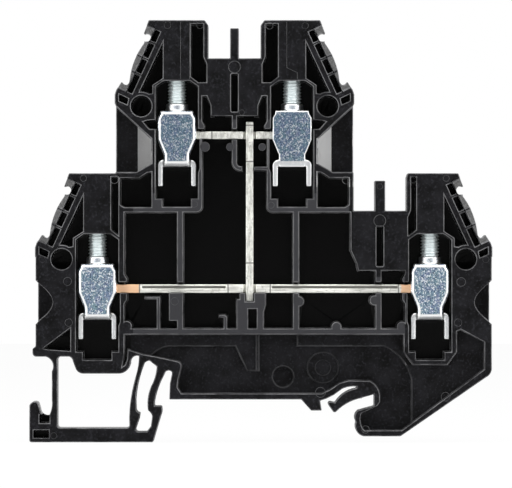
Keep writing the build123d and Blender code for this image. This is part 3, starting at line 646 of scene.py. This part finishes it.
def screw(name, tree, material):
    """Stands for a screw node: its threaded shank and its head in one piece."""
    node = "screw_" + name
    low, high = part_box(node)
    middle = (low + high) / 2
    seat = high.z - HEAD_HEIGHT
    shank = grown(
        "clamping_" + node,
        tree,
        {
            "Crest radius": SHANK_RADIUS,
            "Depth": THREAD_DEPTH,
            "Pitch": THREAD_PITCH,
            "Length": seat - low.z + SHANK_OVERLAP,
            "Start": (middle.x, middle.y, low.z),
            "Chamfer": TIP_CHAMFER,
            "Material": material,
        },
    )
    settle(shank, material)
    head = screw_head(node, seat)
    head_mesh = bpy.data.meshes.new("head")
    head.to_mesh(head_mesh)
    head.free()
    whole = bmesh.new()
    whole.from_mesh(shank.data)
    whole.from_mesh(head_mesh)
    whole.to_mesh(shank.data)
    whole.free()
    for face in shank.data.polygons:
        face.use_smooth = len(face.vertices) == 4
    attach(shank, node)
    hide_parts(node)


# Fine detail of the moulding: rings of ejector pins, a plain insert, posts and seams


def lip_tree(name, along_edges):
    """A fine raised lip: round every point of the given mesh, or along its edges."""
    tree, given, last = new_tree(
        name,
        [
            ("Lip", "NodeSocketFloat"),
            ("Sides", "NodeSocketInt"),
            ("Material", "NodeSocketMaterial"),
        ],
    )
    start, lip, sides, material = (given.outputs[i] for i in range(4))
    profile = wire_up(tree, "GeometryNodeCurvePrimitiveCircle", Resolution=LIP_SIDES, Radius=lip)
    if along_edges:
        path = wire_up(tree, "GeometryNodeMeshToCurve", Mesh=start)
    else:
        path = wire_up(tree, "GeometryNodeCurvePrimitiveCircle", Resolution=sides, Radius=MM)
    solid = wire_up(
        tree,
        "GeometryNodeCurveToMesh",
        Curve=path.outputs["Curve"],
        Profile_Curve=profile.outputs["Curve"],
    ).outputs["Mesh"]
    if not along_edges:
        solid = stood_on_points(tree, start, solid, size_at_point(tree))
    end_tree(tree, solid, material, last)
    return tree


def post_tree():
    """Round posts across the tray, one at every point of the given mesh."""
    tree, given, last = new_tree(
        "posts",
        [
            ("Height", "NodeSocketFloat"),
            ("Sides", "NodeSocketInt"),
            ("Material", "NodeSocketMaterial"),
        ],
    )
    start, height, sides, material = (given.outputs[i] for i in range(4))
    post = wire_up(tree, "GeometryNodeMeshCylinder", Vertices=sides, Radius=MM, Depth=height)
    width = size_at_point(tree)
    scale = wire_up(tree, "ShaderNodeCombineXYZ", X=width, Y=width, Z=1.0)
    spread = stood_on_points(tree, start, post.outputs["Mesh"], scale.outputs[0])
    end_tree(tree, spread, material, last)
    return tree


def on_housing(name, tree, points, edges, values, edge_highlight):
    """A piece grown on the housing from points given as X, Y, Z and radius in millimetres."""
    shape = bmesh.new()
    corners = [shape.verts.new((x * MM, y * MM, z * MM)) for x, y, z, _ in points]
    for first, second in edges:
        shape.edges.new((corners[first], corners[second]))
    made = grown(name, tree, values, shape)
    sizes = made.data.attributes.new("size", "FLOAT", "POINT")
    for index, point in enumerate(points):
        sizes.data[index].value = point[3]
    settle(made, values["Material"])
    # Painted highlight: the lips get a share of the edge highlight
    for face in made.data.attributes["edge"].data:
        face.value = edge_highlight
    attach(made, "housing")


def moulding_marks(material):
    """The posts across the tray, the rings on faces and post ends, and the seams on the towers."""
    face = FRONT_FACE / MM
    web = WEB_FACE / MM
    middle_of_tray = (FRONT_FACE + TRAY_FLOOR) / 2 / MM
    points = [(x, middle_of_tray, z, radius) for x, z, radius in POSTS]
    values = {"Height": TRAY_FLOOR - FRONT_FACE, "Sides": POST_SIDES, "Material": material}
    on_housing("tray_posts", post_tree(), points, [], values, 0.0)
    points = [(x, face, z, radius) for x, z, radius in PIN_RINGS]
    points += [(x, face, z, radius - RING_LIP) for x, z, radius in POSTS]
    points += [(INSERT_X, web, INSERT_Z, radius) for radius in INSERT_RADII]
    values = {"Lip": RING_LIP * MM, "Sides": RING_SIDES, "Material": material}
    on_housing("pin_marks", lip_tree("rings", False), points, [], values, LIP_EDGE_HIGHLIGHT)
    points = [(x, face, z, 0) for seam in SEAMS for x, z in seam]
    edges = [(2 * i, 2 * i + 1) for i in range(len(SEAMS))]
    values = {"Lip": SEAM_LIP * MM, "Material": material}
    on_housing("seams", lip_tree("seams", True), points, edges, values, LIP_EDGE_HIGHLIGHT)


# Floor, light and camera


def pale_floor():
    """A pale floor that shows the object's shadow faintly."""
    finish = Finish("pale_floor", Base_Color=grey(0.9), Roughness=0.9)
    tree = finish.tree
    rays = tree.nodes.new("ShaderNodeLightPath").outputs
    bright = wire_up(tree, "ShaderNodeEmission", Color=grey(1.0), Strength=1.0)
    seen = finish.any_of(rays["Is Camera Ray"], rays["Is Glossy Ray"], rays["Is Transmission Ray"])
    mixed = tree.nodes.new("ShaderNodeMixShader")
    tree.links.new(finish.times(seen, FLOOR_WHITENESS), mixed.inputs[0])
    tree.links.new(finish.shader.outputs[0], mixed.inputs[1])
    tree.links.new(bright.outputs[0], mixed.inputs[2])
    tree.links.new(mixed.outputs[0], tree.nodes["Material Output"].inputs["Surface"])
    return finish.material


def lay_floor():
    """The floor, just under the lowest point of the part."""
    shape = bmesh.new()
    bmesh.ops.create_grid(shape, x_segments=1, y_segments=1, size=FLOOR_REACH)
    for corner in shape.verts:
        corner.co.z = cad_box[0].z - FLOOR_DROP
    made = plain_object("floor", shape)
    made.data.materials.append(pale_floor())


def light_world():
    """White to the camera, faint as light on the part, and mirrored darkest from the camera's side."""
    world = bpy.data.worlds.new("studio")
    scene.world = world
    world.use_nodes = True
    tree = world.node_tree
    back = tree.nodes["Background"]
    direction = tree.nodes.new("ShaderNodeTexCoord").outputs["Generated"]
    parts = wire_up(tree, "ShaderNodeSeparateXYZ", Vector=direction)
    rays = tree.nodes.new("ShaderNodeLightPath").outputs
    behind = ramp(tree, parts.outputs["Y"], -0.75, 0.1, 0.0, 1.0)
    mirrored = reckon(tree, "MULTIPLY", rays["Is Glossy Ray"], behind)
    seen = reckon(tree, "MAXIMUM", rays["Is Camera Ray"], mirrored)
    seen = reckon(tree, "MAXIMUM", seen, rays["Is Transmission Ray"])
    tree.links.new(ramp(tree, seen, 0.0, 1.0, 0.1, 1.0), back.inputs["Strength"])
    back.inputs["Color"].default_value = grey(1.0)


def soft_box(name, place, width, height, brightness):
    """A rectangular lamp, aimed at the part, whose face looks brightness times as bright as white."""
    lamp = bpy.data.lights.new(name, "AREA")
    lamp.shape = "RECTANGLE"
    lamp.size = width
    lamp.size_y = height
    lamp.energy = brightness * math.pi * width * height
    made = bpy.data.objects.new(name, lamp)
    made.location = place
    made.rotation_mode = "QUATERNION"
    made.rotation_quaternion = (Vector(LIGHT_AIM) - Vector(place)).to_track_quat("-Z", "Y")
    scene.collection.objects.link(made)


def light_part():
    """Two lamps at each side and two above, the dimmer of each pair further in front."""
    for word, side in (("left", -1), ("right", 1)):
        soft_box(word + "_side_box", (side * 0.48, -0.10, 0.05), 0.36, 0.45, SIDE_LIGHT)
        soft_box(word + "_front_box", (side * 0.33, -0.36, 0.05), 0.30, 0.45, FRONT_LIGHT)
    soft_box("top_box", (0, -0.12, 0.50), 0.6, 0.36, SIDE_LIGHT)
    soft_box("top_front_box", (0, -0.36, 0.36), 0.6, 0.30, FRONT_LIGHT)


def place_camera():
    """Square on to the open side, from far enough that the sides hardly show."""
    lens = bpy.data.cameras.new("camera")
    lens.sensor_width = 36
    lens.lens = 400
    lens.clip_start = 0.05
    lens.clip_end = 10
    made = bpy.data.objects.new("camera", lens)
    distance = FRAME_WIDTH * lens.lens / lens.sensor_width
    made.location = (VIEW_X, cad_box[0].y - distance, VIEW_Z)
    made.rotation_euler = (math.pi / 2, 0, 0)
    scene.collection.objects.link(made)
    scene.camera = made


# Build the part, and then what stands round it

plastic = black_moulding()
zinc = zinc_sheet()
rounded_copy("housing", "moulded_housing", HOUSING_EDGE, plastic, "housing")
moulding_marks(plastic)
for bar, has_copper in (("upper_bar", False), ("lower_bar", True), ("level_link", False)):
    tin = tin_plate(has_copper)
    rounded_copy(bar, "punched_" + bar, BAR_EDGE, tin, "housing")
threads = thread_tree()
screw_finish = bright_zinc()
for clamp in CLAMPS:
    yoke = "yoke_" + clamp
    rounded_copy(yoke, "bent_" + yoke, YOKE_EDGE, zinc, yoke, segments=3)
    screw(clamp, threads, screw_finish)

lay_floor()
light_world()
light_part()
place_camera()
scene.view_settings.view_transform = "Standard"
